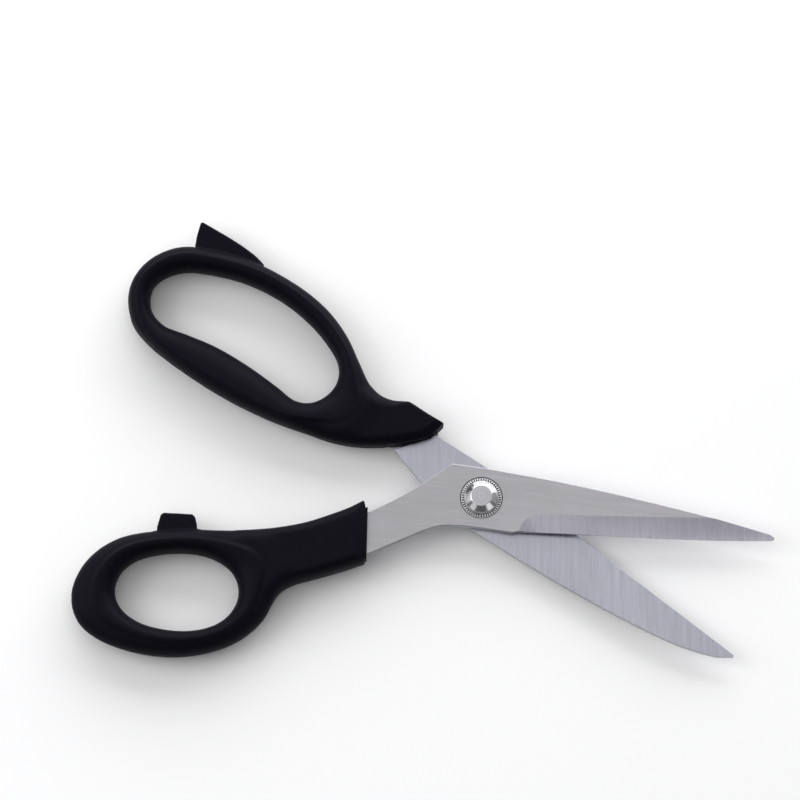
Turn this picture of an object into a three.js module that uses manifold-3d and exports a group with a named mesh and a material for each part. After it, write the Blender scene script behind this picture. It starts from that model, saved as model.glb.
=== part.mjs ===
// Fabric shears with bent handles, 240 mm long when closed.
//
// Two stamped stainless blades ride on an adjustable pivot. The thumb half (front blade, small ring)
// lies on top of the finger half (back blade, long bow). Each blade's tang is locked in a hard inner
// core, and the core is moulded into a handle. A bolt goes down through both blades: its toothed
// washer holds it in the front blade, and the nut under the back blade sets the tension.
//
// Units are millimetres. The origin is where the pivot axis meets the table that the shears lie on,
// +Z is up along the pivot axis, and +X points from the handles towards the blade tips.
// Each half is drawn closed, with its blade tip on +X, and then turned to its place in the open pair.
import * as THREE from "three";
import { mergeVertices } from "three/addons/utils/BufferGeometryUtils.js";
import Module from "manifold-3d";

// Driving dimensions: the pose, and the stack of pieces up the pivot axis.
const THUMB_TURN = -7.9; // degrees from closed to the open pose
const FINGER_TURN = -32.5;
const HANDLE_DEPTH = 13; // both handles, from the table up
const BLADE_THICKNESS = 2.4;
const BACK_BLADE_Z = 3.5; // underside of the back blade
const BLADE_GAP = 0.3; // held open by the bearing washer
const FRONT_BLADE_Z = BACK_BLADE_Z + BLADE_THICKNESS + BLADE_GAP;
const FACE_Z = FRONT_BLADE_Z + BLADE_THICKNESS; // outer face of the front blade

// Pivot hardware.
const BOLT_RADIUS = 2.5;
const BORE_RADIUS = 2.65;
const HEAD_RADIUS = 5.6;
const HEAD_TOP_RADIUS = 3.6;
const HEAD_WALL = 1.5; // height of the head's straight side
const HEAD_CONE = 1.8; // height of the cone above it
const LOCK_WASHER_RADIUS = 6.9;
const LOCK_WASHER_TEETH = 40;
const LOCK_TOOTH = 0.45;
const COUNTERBORE_RADIUS = 7.2;
const COUNTERBORE_DEPTH = 0.5;
const NUT_ACROSS_FLATS = 8.6;
const NUT_Z = 0.5;
const NUT_THICKNESS = 2.3;
const SPRING_RADIUS = 5.4;
const SPRING_THICKNESS = 0.4;
const BEARING_RADIUS = 6.5;
const STACK_GAP = 0.05; // between pieces that press on each other up the pivot
const SHANK_CHAMFER = 0.4;
const HEAD_EDGE_DROP = 0.1; // the break between the head's cone and its flat top
const HEAD_EDGE_WIDTH = 0.2;
const NUT_CHAMFER_DEPTH = 0.8;
const NUT_CHAMFER_WIDTH = 1.1;

// Blades.
const EDGE_BREAK = 0.25; // chamfer all round a blade
const GRIND_SLOPE = 0.28; // fall of the ground bevel per millimetre of its width
const TANG_HOLE_RADIUS = 1.9;
const GRIND_RUN = 30; // width of the wedge that grinds a blade, more than any blade's
const GRIND_LENGTH = 200; // and its length, more than any blade's
const GRIND_PAST_TIP = 60; // from the end of the grind line to the end of the ground area
const GRIND_DEPTH = 4; // the ground area reaches this far above and below the face
const CUT_CLEAR = 1; // how far a cut stands clear of the faces that it goes through

// Handles and cores.
const HANDLE_ROUND = 3.4; // how far the edge rounding reaches in from the outline
const HANDLE_ROUND_DEPTH = 4;
const HANDLE_ROUND_STEPS = 3;
const LUG_ROUND = 0.5; // edge rounding of the fin and the stop
const FIN_THICKNESS = 3.4;
const STOP_THICKNESS = 4;
const CORE_WALL = 1.3; // above and below the tang
const POST_RADIUS = 1.6;
const FIT_GAP = 0.2; // between one piece and the piece moulded round it

const CURVE_STEP = 2.5; // spacing of points along a smooth outline
const ROUND_SEGMENTS = 40;
const HOLE_SEGMENTS = 20;
const POST_SEGMENTS = 16;

// ---- Geometry helpers ------------------------------------------------------------------------

const wasm = await Module();
wasm.setup();

const point = ([x, y]) => new THREE.Vector2(x, y);

/** Evenly spaced points on a smooth curve through the given points. */
function smooth(points, closed = false, step = CURVE_STEP) {
  const knots = points.map(([x, y]) => new THREE.Vector3(x, y, 0));
  const curve = new THREE.CatmullRomCurve3(knots, closed, "centripetal");
  const samples = curve.getSpacedPoints(Math.round(curve.getLength() / step));
  if (closed) samples.pop();
  return samples.map((p) => new THREE.Vector2(p.x, p.y));
}

/** The outline moved outwards by a distance, with mitred corners. */
function grown(outline, distance) {
  const outwards = THREE.ShapeUtils.isClockWise(outline) ? -distance : distance;
  return outline.map((here, i) => {
    const before = outline[(i + outline.length - 1) % outline.length];
    const after = outline[(i + 1) % outline.length];
    const into = here.clone().sub(before).normalize();
    const away = after.clone().sub(here).normalize();
    const normal = new THREE.Vector2(into.y + away.y, -into.x - away.x).normalize();
    const stretch = Math.max(0.5, Math.sqrt((1 + into.dot(away)) / 2));
    return here.clone().addScaledVector(normal, outwards / stretch);
  });
}

function circle(radius, x = 0, y = 0, segments = ROUND_SEGMENTS) {
  return Array.from({ length: segments }, (_, i) => {
    const angle = (2 * Math.PI * i) / segments;
    return new THREE.Vector2(x + radius * Math.cos(angle), y + radius * Math.sin(angle));
  });
}

/** A three.js geometry as a manifold solid. */
function solid(geometry) {
  const flat = geometry.index ? geometry.toNonIndexed() : geometry;
  const bare = new THREE.BufferGeometry().setAttribute("position", flat.getAttribute("position"));
  const merged = mergeVertices(bare, 1e-4);
  return new wasm.Manifold(
    new wasm.Mesh({
      numProp: 3,
      vertProperties: merged.attributes.position.array,
      triVerts: new Uint32Array(merged.index.array),
    }),
  );
}

/** A manifold solid as a three.js geometry. */
function geometryOf(made) {
  const { numProp, numVert, vertProperties, triVerts } = made.getMesh();
  const positions = new Float32Array(numVert * 3);
  for (let i = 0; i < numVert; i++) {
    positions.set(vertProperties.subarray(i * numProp, i * numProp + 3), i * 3);
  }
  const geometry = new THREE.BufferGeometry();
  geometry.setAttribute("position", new THREE.BufferAttribute(positions, 3));
  geometry.setIndex(new THREE.BufferAttribute(triVerts, 1));
  geometry.computeVertexNormals();
  return geometry;
}

/** A plate with the outline's full size at mid height, and edges rounded or chamfered inside it. */
function plate(outline, bottom, top, { holes = [], round = 0, roundDepth = round, segments = 1 } = {}) {
  const shape = new THREE.Shape(outline);
  shape.holes = holes.map((hole) => new THREE.Path(hole));
  const geometry = new THREE.ExtrudeGeometry(shape, {
    depth: top - bottom - 2 * roundDepth,
    bevelEnabled: round > 0,
    bevelSize: round,
    bevelOffset: -round,
    bevelThickness: roundDepth,
    bevelSegments: segments,
  });
  geometry.translate(0, 0, bottom + roundDepth);
  return solid(geometry);
}

/** A solid turned about the pivot axis from its half profile of [radius, height] points. */
function turned(profile, segments = ROUND_SEGMENTS) {
  return solid(new THREE.LatheGeometry(profile.map(point), segments).rotateX(Math.PI / 2));
}

function part(name, made, material) {
  const mesh = new THREE.Mesh(geometryOf(made), material);
  mesh.name = name;
  return mesh;
}

// ---- Materials -------------------------------------------------------------------------------

const handleBlack = new THREE.MeshStandardMaterial({ color: 0x17161c, roughness: 0.5, metalness: 0 });
const coreBlack = new THREE.MeshStandardMaterial({ color: 0x0d0d10, roughness: 0.4, metalness: 0 });
const bladeSteel = new THREE.MeshStandardMaterial({ color: 0xb4b2b3, roughness: 0.35, metalness: 1 });
const polishedSteel = new THREE.MeshStandardMaterial({ color: 0xcfcfd2, roughness: 0.15, metalness: 1 });
const bearingPlastic = new THREE.MeshStandardMaterial({ color: 0xe6e4dc, roughness: 0.5, metalness: 0 });

// ---- Outlines, each half closed --------------------------------------------------------------

const frontBladeOutline = [
  ...smooth([[98.6, 1.05], [80, 3.6], [49.3, 6.95], [20, 9.3], [0.5, 10.3]], false, 10),
  ...smooth([[-11.6, 10.4], [-20.5, 2.1], [-28, -3.9], [-37, -10.1]], false, 6),
  ...[[-40.6, -12.6], [-42, -15], [-64, -26.2], [-60.5, -33.2], [-41, -23.3], [-39.2, -26.8]].map(point),
  ...smooth([[-36.4, -25.2], [-26, -19], [-15.5, -12.8], [-10.5, -11.1], [-4, -10.8]], false, 3.5),
  ...[[12.2, -10.6], [14.2, -9.9]].map(point),
  ...smooth([[36, -7.8], [57, -5.95], [80, -3.5], [99.2, -1.0]], false, 10),
  ...[[100.1, -0.55], [100.2, 0.25]].map(point),
];
const frontTangHoles = [[-49, -22.7], [-57, -26.8]];

const backBladeOutline = [
  ...[[100.9, 0.15], [12, 9.3], [9.5, 10.1], [-25.5, 10.5], [-31, 10.4], [-34, 8.2]].map(point),
  ...[[-44, 7], [-57, 5.5], [-57, -1.5], [-44, -1], [-36, 3], [-30.7, 3.1]].map(point),
  ...[[-31.9, 1.7], [-34.2, -1.1], [-7, -10.8]].map(point),
  ...smooth([
    [3, -10.8], [25, -10.6], [50, -9.8], [70, -8.5], [82, -7.1], [91, -5.1], [98.5, -2.6], [101.2, -0.8],
  ], false, 6),
];
const backTangHoles = [[-46.5, 3], [-53, 2.3]];

const fingerHandleOutline = [
  ...[[-26.2, 8.9], [-24.4, 15]].map(point),
  ...smooth([
    [-31.5, 14.9], [-39, 14.8], [-43.5, 12.7], [-48, 11.9], [-53, 13.1], [-60, 17.5], [-68.5, 23.1],
    [-78, 27.1], [-88, 29], [-98, 29.3], [-108, 28.5], [-117, 26.3], [-126, 23.2], [-131.5, 20.9],
    [-136.5, 16.5], [-140.2, 10.2], [-141.5, 4], [-140.8, -2], [-137.9, -7.5], [-132.5, -12.6],
    [-126, -15], [-116, -16.5], [-98.8, -17.3], [-86, -16.7], [-74, -15.1], [-62, -12.6], [-52, -10],
    [-45, -7], [-37.5, -2.2], [-29.8, 4.4],
  ]),
];
const fingerHole = smooth([
  [-133.9, 2.5], [-132.2, 8], [-127.5, 13.1], [-119, 17.3], [-108, 20.7], [-95, 21.9], [-83, 20.5],
  [-73, 17.3], [-66.2, 13.3], [-63.2, 8], [-63.6, 2.3], [-66.5, -2.7], [-71.5, -5.2], [-79.5, -4.4],
  [-92, -3.5], [-105, -3.8], [-115.5, -5.5], [-124, -7], [-130.5, -4.4],
], true);
const finOutline = [
  ...smooth([[-104, 28.6], [-110, 30.3], [-118, 31], [-132.1, 30.8]]),
  ...[[-132.7, 30.2], [-131.3, 25.5], [-130.4, 20], [-126, 19], [-108, 24.5]].map(point),
];
const fingerCoreOutline = [
  ...[[-24.95, 11.8], [-32.2, 11.8], [-34.5, 9.8], [-44, 8.4], [-58.3, 6.8], [-58.3, -2.8]].map(point),
  ...[[-44.5, -2.3], [-36.5, 1.7], [-33.3, 1.45], [-32.5, 1.5], [-29.2, 4.5], [-25.9, 8.6]].map(point),
];

const thumbHandleOutline = [
  ...[[-36.4, -21], [-37.3, -13], [-39.2, -6.2]].map(point),
  ...smooth([
    [-44.6, -9.9], [-50, -12.8], [-57.4, -16.4], [-66.8, -19.6], [-76.5, -21.8], [-86.4, -23.2],
    [-95, -24.2], [-104, -25.8], [-112, -27.6], [-119.5, -30.5], [-126, -35.4], [-130.6, -41.8],
    [-132.9, -49.5], [-132.1, -56.3], [-128.5, -62], [-122, -66], [-113, -68.4], [-103.5, -69.2],
    [-94, -68.4], [-85, -65.9], [-77, -61.9], [-71, -56.8], [-67, -51.2], [-65.2, -46], [-63.3, -41.8],
    [-59.3, -38.4], [-54, -36], [-44.5, -31.8],
  ]),
  ...[[-36.2, -27.7]].map(point),
];
const thumbHole = smooth([
  [-118.5, -47], [-116.8, -41.5], [-112.5, -37.2], [-106, -34.3], [-99, -32.7], [-92, -32.4], [-85.5, -33.8],
  [-80, -37.3], [-77.2, -42.5], [-77.3, -48], [-80.5, -53.7], [-86, -57.5], [-93, -59.5], [-100.5, -59.9],
  [-108.5, -58.7], [-114.5, -55.6], [-117.7, -51.5],
], true);
const stopOutline = [
  ...[[-109.5, -27.2], [-107.5, -25], [-106.9, -20.6], [-106, -19.8], [-96.2, -19], [-95.1, -20]].map(point),
  ...[[-94.2, -22.5], [-92.6, -23.6], [-90, -24], [-91, -27], [-110, -30]].map(point),
];
const thumbCoreOutline = [
  ...[[-37.7, -8.8], [-41.5, -11], [-43.2, -13.9], [-65.8, -25.4], [-61.1, -35], [-41.6, -25]].map(point),
  ...[[-39.7, -28.2], [-35.65, -26.7]].map(point),
];

// ---- Blades ----------------------------------------------------------------------------------

/** What grinding takes off the upper face: all above a plane that falls away from a line. */
function grindCutter(line, heel, faceZ) {
  const [start, end] = line.map(point);
  const along = end.clone().sub(start).normalize();
  const beyond = end.clone().addScaledVector(along, GRIND_PAST_TIP);
  const fall = GRIND_SLOPE * GRIND_RUN;
  const corners = [[0, 0], [GRIND_RUN, -fall], [GRIND_RUN, GRIND_DEPTH], [0, GRIND_DEPTH]];
  const wedge = new THREE.Shape(corners.map(point));
  const geometry = new THREE.ExtrudeGeometry(wedge, { depth: GRIND_LENGTH, bevelEnabled: false });
  const basis = new THREE.Matrix4().makeBasis(
    new THREE.Vector3(along.y, -along.x, 0),
    new THREE.Vector3(0, 0, 1),
    new THREE.Vector3(-along.x, -along.y, 0),
  );
  basis.setPosition(beyond.x + along.x * CUT_CLEAR, beyond.y + along.y * CUT_CLEAR, faceZ);
  const below = new THREE.Vector2(heel[0][0], heel[0][1] - GRIND_RUN);
  const curve = smooth([...heel, line[0]], false, 2);
  const area = [...curve, beyond, new THREE.Vector2(beyond.x, below.y), below];
  return solid(geometry.applyMatrix4(basis)).intersect(plate(area, faceZ - GRIND_DEPTH, faceZ + GRIND_DEPTH));
}

const grindLine = [[21.2, -3.2], [79, 3.8]];
const grindHeel = [[14.1, -9.9], [15.1, -6.7], [17.5, -4.4]];

/** The back blade is ground below, on its own cutting edge: the same cut, seen from the other side. */
const backGrindLine = [[21.2, 3.1], [79, -3.6]];
const backGrindHeel = [[14.1, 10], [15.1, 6.6], [17.5, 4.3]];

function frontBlade() {
  const blank = plate(frontBladeOutline, FRONT_BLADE_Z, FACE_Z, {
    holes: frontTangHoles.map(([x, y]) => circle(TANG_HOLE_RADIUS, x, y, HOLE_SEGMENTS)),
    round: EDGE_BREAK,
  });
  return blank
    .subtract(grindCutter(grindLine, grindHeel, FACE_Z))
    .subtract(plate(circle(BORE_RADIUS), FRONT_BLADE_Z - CUT_CLEAR, FACE_Z + CUT_CLEAR))
    .subtract(plate(circle(COUNTERBORE_RADIUS), FACE_Z - COUNTERBORE_DEPTH, FACE_Z + CUT_CLEAR));
}

function backBlade() {
  const top = BACK_BLADE_Z + BLADE_THICKNESS;
  const blank = plate(backBladeOutline, BACK_BLADE_Z, top, {
    holes: backTangHoles.map(([x, y]) => circle(TANG_HOLE_RADIUS, x, y, HOLE_SEGMENTS)),
    round: EDGE_BREAK,
  });
  const flipped = (points) => points.map(([x, y]) => [x, -y]);
  const cutter = grindCutter(flipped(backGrindLine), flipped(backGrindHeel), -BACK_BLADE_Z);
  return blank
    .subtract(cutter.rotate([180, 0, 0]))
    .subtract(plate(circle(BORE_RADIUS), BACK_BLADE_Z - CUT_CLEAR, top + CUT_CLEAR));
}

// ---- Handles and their cores -----------------------------------------------------------------

function handle(outline, hole, lug, lugThickness, coreOutline, coreBottom, coreTop) {
  const middle = HANDLE_DEPTH / 2;
  const body = plate(outline, 0, HANDLE_DEPTH, {
    holes: [hole],
    round: HANDLE_ROUND,
    roundDepth: HANDLE_ROUND_DEPTH,
    segments: HANDLE_ROUND_STEPS,
  });
  return body
    .add(plate(lug, middle - lugThickness / 2, middle + lugThickness / 2, { round: LUG_ROUND }))
    .subtract(plate(grown(coreOutline, FIT_GAP), coreBottom - FIT_GAP, coreTop + FIT_GAP));
}

/** The hard sleeve on a tang, with posts through the tang's holes. Its lip shows at the collar. */
function tangCore(coreOutline, bladeOutline, holes, bladeBottom) {
  const bladeTop = bladeBottom + BLADE_THICKNESS;
  const sleeve = plate(coreOutline, bladeBottom - CORE_WALL, bladeTop + CORE_WALL).subtract(
    plate(grown(bladeOutline, FIT_GAP), bladeBottom - FIT_GAP / 2, bladeTop + FIT_GAP / 2),
  );
  const posts = holes.map(([x, y]) =>
    plate(circle(POST_RADIUS, x, y, POST_SEGMENTS), bladeBottom - CORE_WALL / 2, bladeTop + CORE_WALL / 2),
  );
  return posts.reduce((joined, post) => joined.add(post), sleeve);
}

// ---- Pivot hardware --------------------------------------------------------------------------

/** Bolt with a straight-sided head that narrows in a cone to a flat top. */
function pivotBolt() {
  const under = FACE_Z + 2 * STACK_GAP;
  const shoulder = under + HEAD_WALL;
  const top = shoulder + HEAD_CONE;
  return turned([
    [0, 0],
    [BOLT_RADIUS - SHANK_CHAMFER, 0],
    [BOLT_RADIUS, SHANK_CHAMFER],
    [BOLT_RADIUS, under],
    [HEAD_RADIUS, under],
    [HEAD_RADIUS, shoulder],
    [HEAD_TOP_RADIUS, top - HEAD_EDGE_DROP],
    [HEAD_TOP_RADIUS - HEAD_EDGE_WIDTH, top],
    [0, top],
  ]);
}

/** Washer with teeth all round its rim, sunk in the front blade under the bolt's head. */
function lockWasher() {
  const rim = Array.from({ length: 2 * LOCK_WASHER_TEETH }, (_, i) => {
    const radius = LOCK_WASHER_RADIUS - (i % 2) * LOCK_TOOTH;
    const angle = (Math.PI * i) / LOCK_WASHER_TEETH;
    return new THREE.Vector2(radius * Math.cos(angle), radius * Math.sin(angle));
  });
  const bottom = FACE_Z - COUNTERBORE_DEPTH + STACK_GAP;
  return plate(rim, bottom, FACE_Z + STACK_GAP, { holes: [circle(BORE_RADIUS)] });
}

/** Thin low-friction washer between the blades. */
function bearingWasher() {
  const bottom = BACK_BLADE_Z + BLADE_THICKNESS + STACK_GAP;
  const top = FRONT_BLADE_Z - STACK_GAP;
  return plate(circle(BEARING_RADIUS), bottom, top, { holes: [circle(BORE_RADIUS)] });
}

/** Coned disc spring between the nut and the back blade. */
function discSpring() {
  const bottom = NUT_Z + NUT_THICKNESS + STACK_GAP;
  const top = BACK_BLADE_Z - STACK_GAP;
  return turned([
    [BORE_RADIUS, bottom],
    [SPRING_RADIUS, top - SPRING_THICKNESS],
    [SPRING_RADIUS, top],
    [BORE_RADIUS, bottom + SPRING_THICKNESS],
    [BORE_RADIUS, bottom],
  ]);
}

/** Thin hexagon nut, chamfered below. */
function tensionNut() {
  const hexagon = circle(NUT_ACROSS_FLATS / 2 / Math.cos(Math.PI / 6), 0, 0, 6);
  const top = NUT_Z + NUT_THICKNESS;
  const blank = plate(hexagon, NUT_Z, top, { holes: [circle(BORE_RADIUS)] });
  const outer = NUT_ACROSS_FLATS / 2 + CUT_CLEAR;
  const envelope = turned([
    [0, NUT_Z],
    [outer - NUT_CHAMFER_WIDTH, NUT_Z],
    [outer, NUT_Z + NUT_CHAMFER_DEPTH],
    [outer, top + CUT_CLEAR],
    [0, top + CUT_CLEAR],
  ]);
  return blank.intersect(envelope);
}

// ---- Assembly --------------------------------------------------------------------------------

const shears = new THREE.Group();
const thumbHalf = new THREE.Group();
const fingerHalf = new THREE.Group();
shears.add(thumbHalf, fingerHalf);
thumbHalf.rotation.z = THREE.MathUtils.degToRad(THUMB_TURN);
fingerHalf.rotation.z = THREE.MathUtils.degToRad(FINGER_TURN);

const frontCoreBottom = FRONT_BLADE_Z - CORE_WALL;
const backCoreBottom = BACK_BLADE_Z - CORE_WALL;
const coreDepth = BLADE_THICKNESS + 2 * CORE_WALL;

const thumbCore = tangCore(thumbCoreOutline, frontBladeOutline, frontTangHoles, FRONT_BLADE_Z);
const fingerCore = tangCore(fingerCoreOutline, backBladeOutline, backTangHoles, BACK_BLADE_Z);

thumbHalf.add(
  part("front_blade", frontBlade(), bladeSteel),
  part("thumb_tang_core", thumbCore, coreBlack),
  part(
    "thumb_handle",
    handle(
      thumbHandleOutline, thumbHole, stopOutline, STOP_THICKNESS,
      thumbCoreOutline, frontCoreBottom, frontCoreBottom + coreDepth,
    ),
    handleBlack,
  ),
  part("pivot_bolt", pivotBolt(), polishedSteel),
  part("toothed_lock_washer", lockWasher(), polishedSteel),
  part("tension_nut", tensionNut(), polishedSteel),
);
fingerHalf.add(
  part("back_blade", backBlade(), bladeSteel),
  part("finger_tang_core", fingerCore, coreBlack),
  part(
    "finger_handle",
    handle(
      fingerHandleOutline, fingerHole, finOutline, FIN_THICKNESS,
      fingerCoreOutline, backCoreBottom, backCoreBottom + coreDepth,
    ),
    handleBlack,
  ),
  part("bearing_washer", bearingWasher(), bearingPlastic),
  part("disc_spring", discSpring(), polishedSteel),
);

export default shears;
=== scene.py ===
"""Fabric shears, open on a pale table: moulded black handles, satin blades and a polished pivot bolt."""

import bmesh
import bpy
import math
import numpy as np
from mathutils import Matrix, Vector
from mathutils.geometry import delaunay_2d_cdt
from types import SimpleNamespace


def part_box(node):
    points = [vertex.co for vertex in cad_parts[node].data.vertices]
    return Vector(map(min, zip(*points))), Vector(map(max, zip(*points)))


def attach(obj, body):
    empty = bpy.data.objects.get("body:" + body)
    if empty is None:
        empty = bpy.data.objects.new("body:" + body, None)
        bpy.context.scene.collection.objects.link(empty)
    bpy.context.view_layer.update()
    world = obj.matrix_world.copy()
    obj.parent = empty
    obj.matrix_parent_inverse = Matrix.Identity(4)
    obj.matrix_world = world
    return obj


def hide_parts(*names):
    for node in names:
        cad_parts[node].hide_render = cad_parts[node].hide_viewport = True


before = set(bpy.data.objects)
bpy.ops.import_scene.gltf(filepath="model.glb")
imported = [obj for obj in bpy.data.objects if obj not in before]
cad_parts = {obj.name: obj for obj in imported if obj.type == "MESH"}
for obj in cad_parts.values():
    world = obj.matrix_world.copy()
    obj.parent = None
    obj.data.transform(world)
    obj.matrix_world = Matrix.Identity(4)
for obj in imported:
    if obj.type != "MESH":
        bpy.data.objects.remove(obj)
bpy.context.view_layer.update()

MM = 0.001
THUMB_TURN = math.radians(-7.9)  # each half is shaped closed, tip on +X, then turned about the pivot
FINGER_TURN = math.radians(-32.5)


# ---- Outlines read from the frame --------------------------------------------------------------

STRAIGHT = 0.25  # degrees: a turn smaller than this is part of a straight stretch
SHORTEST = 0.02  # a step shorter than this is left out
CORNER = 28  # degrees: a sharper turn stays a corner
STRAY_POINTS = 5  # a loop of this many points or fewer is a stray one


def turned(points, angle):
    """Points turned about the pivot axis."""
    c, s = math.cos(angle), math.sin(angle)
    out = np.array(points, float)
    out[:, 0], out[:, 1] = points[:, 0] * c - points[:, 1] * s, points[:, 0] * s + points[:, 1] * c
    return out


def section(node, height, angle):
    """Closed loops, in millimetres and largest first, where a CAD node is cut level at that height."""
    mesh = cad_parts[node].data
    mesh.calc_loop_triangles()
    co = np.array([v.co for v in mesh.vertices]) / MM
    tris = co[np.array([t.vertices for t in mesh.loop_triangles])]
    steps = {}
    for tri in tris[(tris[:, :, 2].min(1) < height) & (tris[:, :, 2].max(1) > height)]:
        ends = []
        for a, b in ((tri[0], tri[1]), (tri[1], tri[2]), (tri[2], tri[0])):
            if (a[2] > height) != (b[2] > height):
                p = a + (b - a) * (height - a[2]) / (b[2] - a[2])
                ends.append((round(float(p[0]), 3), round(float(p[1]), 3)))
        if len(ends) == 2 and ends[0] != ends[1]:
            steps.setdefault(ends[0], []).append(ends[1])
            steps.setdefault(ends[1], []).append(ends[0])
    loops = []
    while steps:
        here = next(iter(steps))
        loop = []
        while here in steps:
            loop.append(here)
            nexts = steps.pop(here)
            here = next((n for n in nexts if n in steps), None)
        loops.append(turned(np.array(loop), -angle))
    return sorted((l for l in loops if len(l) > STRAY_POINTS), key=lambda l: -abs(area(l)))


def area(loop):
    """The loop's area, which is negative when it runs clockwise."""
    x, y = loop[:, 0], loop[:, 1]
    return 0.5 * float(np.sum(x * np.roll(y, -1) - y * np.roll(x, -1)))


def corners_of(loop, sharp):
    """The loop anticlockwise without points on its straight stretches, and which points are corners."""
    loop = loop if area(loop) > 0 else loop[::-1]
    while True:
        into = loop - np.roll(loop, 1, 0)
        away = np.roll(loop, -1, 0) - loop
        turn = np.arctan2(into[:, 0] * away[:, 1] - into[:, 1] * away[:, 0], (into * away).sum(1))
        keep = (np.abs(turn) > math.radians(STRAIGHT)) & (np.hypot(into[:, 0], into[:, 1]) > SHORTEST)
        if keep.all():
            return loop, np.abs(turn) > math.radians(sharp)
        loop = loop[keep]


def spline(knots, step):
    """Points along a smooth curve through the knots, the last one left out."""
    before = np.vstack([2 * knots[0] - knots[1], knots[:-1]])
    after = np.vstack([knots[1:], 2 * knots[-1] - knots[-2]])
    gaps = np.hypot(*(after - knots).T)
    gaps_before = np.hypot(*(knots - before).T)
    slope_in = (knots - before) / gaps_before[:, None]
    slope_out = (after - knots) / gaps[:, None]
    tangent = (slope_in * gaps[:, None] + slope_out * gaps_before[:, None]) / (gaps + gaps_before)[:, None]
    out = []
    for p, q, u, v in zip(knots[:-1], knots[1:], tangent[:-1], tangent[1:]):
        length = np.hypot(*(q - p))
        count = max(1, round(length / step))
        t = (np.arange(count) / count)[:, None]
        out.append(
            (2 * t**3 - 3 * t**2 + 1) * p
            + (t**3 - 2 * t**2 + t) * u * length
            + (3 * t**2 - 2 * t**3) * q
            + (t**3 - t**2) * v * length
        )
    return np.vstack(out)


def smooth_loop(loop, step, sharp=CORNER):
    """The loop drawn through its own points as smooth curves that break only at its corners."""
    loop, corner = corners_of(loop, sharp)
    if not corner.any():
        # Some of its points are repeated at both ends, so that the curve closes smoothly.
        wrapped = np.vstack([loop[-3:], loop, loop[:4]])
        whole = spline(wrapped, step)
        start = len(spline(wrapped[:4], step))
        end = len(spline(wrapped[: len(loop) + 4], step))
        return whole[start:end]
    loop = np.roll(loop, -int(np.argmax(corner)), 0)
    corner = np.roll(corner, -int(np.argmax(corner)))
    loop = np.vstack([loop, loop[:1]])
    at = [*np.flatnonzero(corner), len(loop) - 1]
    return np.vstack([spline(loop[a : b + 1], step) for a, b in zip(at[:-1], at[1:])])


def distance(points, starts, ends):
    """Distance from each point to the nearest of the segments."""
    best = np.full(len(points), 1e9)
    for a, b in zip(starts, ends):
        d = b - a
        t = np.clip((points - a) @ d / max(d @ d, 1e-12), 0, 1)
        best = np.minimum(best, np.hypot(points[:, 0] - a[0] - t * d[0], points[:, 1] - a[1] - t * d[1]))
    return best


def inside(points, loop):
    """Which points lie inside the loop."""
    x, y = points[:, 0], points[:, 1]
    odd = np.zeros(len(points), bool)
    for a, b in zip(loop, np.roll(loop, -1, 0)):
        if a[1] != b[1]:
            odd ^= ((a[1] > y) != (b[1] > y)) & (x < a[0] + (y - a[1]) * (b[0] - a[0]) / (b[1] - a[1]))
    return odd


def depth_in(points, loop):
    """How far inside the loop each point is; negative outside."""
    return distance(points, loop, np.roll(loop, -1, 0)) * np.where(inside(points, loop), 1, -1)


# ---- Meshes ------------------------------------------------------------------------------------


def new_piece(name, vertices, faces, angle, materials, sharp_angle=None):
    """A mesh object from points in millimetres, shaped in a closed half and turned to its place."""
    mesh = bpy.data.meshes.new(name)
    mesh.from_pydata((turned(np.asarray(vertices, float), angle) * MM).tolist(), [], faces)
    mesh.validate()
    mesh.shade_smooth()
    if sharp_angle is not None:
        mesh.set_sharp_from_angle(angle=math.radians(sharp_angle))
    for material in materials:
        mesh.materials.append(material)
    piece = bpy.data.objects.new(name, mesh)
    bpy.context.scene.collection.objects.link(piece)
    return piece


def surface_net(values, origin, step):
    """Vertices and quads of the surface where the values on a grid change sign (negative is inside)."""
    within = values < 0
    shape = np.array(values.shape) - 1
    total = np.zeros((*shape, 3))
    count = np.zeros(shape)
    for axis in range(3):
        b, c = [a for a in range(3) if a != axis]
        for ob in (0, 1):
            for oc in (0, 1):
                low = [slice(None)] * 3
                low[axis] = slice(0, shape[axis])
                low[b] = slice(ob, ob + shape[b])
                low[c] = slice(oc, oc + shape[c])
                high = list(low)
                high[axis] = slice(1, shape[axis] + 1)
                f0, f1 = values[tuple(low)], values[tuple(high)]
                cross = (f0 < 0) != (f1 < 0)
                t = np.where(cross, f0 / np.where(cross, f0 - f1, 1), 0)
                offset = np.zeros((*shape, 3))
                offset[..., axis] = t
                offset[..., b] = ob
                offset[..., c] = oc
                total += offset * cross[..., None]
                count += cross
    active = count > 0
    index = np.full(tuple(shape), -1)
    index[active] = np.arange(active.sum())
    cells = np.argwhere(active)
    vertices = origin + step * (cells + total[active] / count[active][:, None])
    faces = []
    for axis in range(3):
        b, c = (axis + 1) % 3, (axis + 2) % 3
        low = [slice(1, -1)] * 3
        low[axis] = slice(0, -1)
        high = list(low)
        high[axis] = slice(1, None)
        f0, f1 = within[tuple(low)], within[tuple(high)]
        for leaving in (True, False):
            at = np.argwhere(f0 & ~f1 if leaving else ~f0 & f1)
            at[:, b] += 1
            at[:, c] += 1
            quad = []
            for db, dc in ((-1, -1), (0, -1), (0, 0), (-1, 0)):
                cell = at.copy()
                cell[:, b] += db
                cell[:, c] += dc
                quad.append(index[tuple(cell.T)])
            quad = np.stack(quad, 1)
            faces.append(quad if leaving else quad[:, ::-1])
    return vertices, np.vstack(faces)


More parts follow.
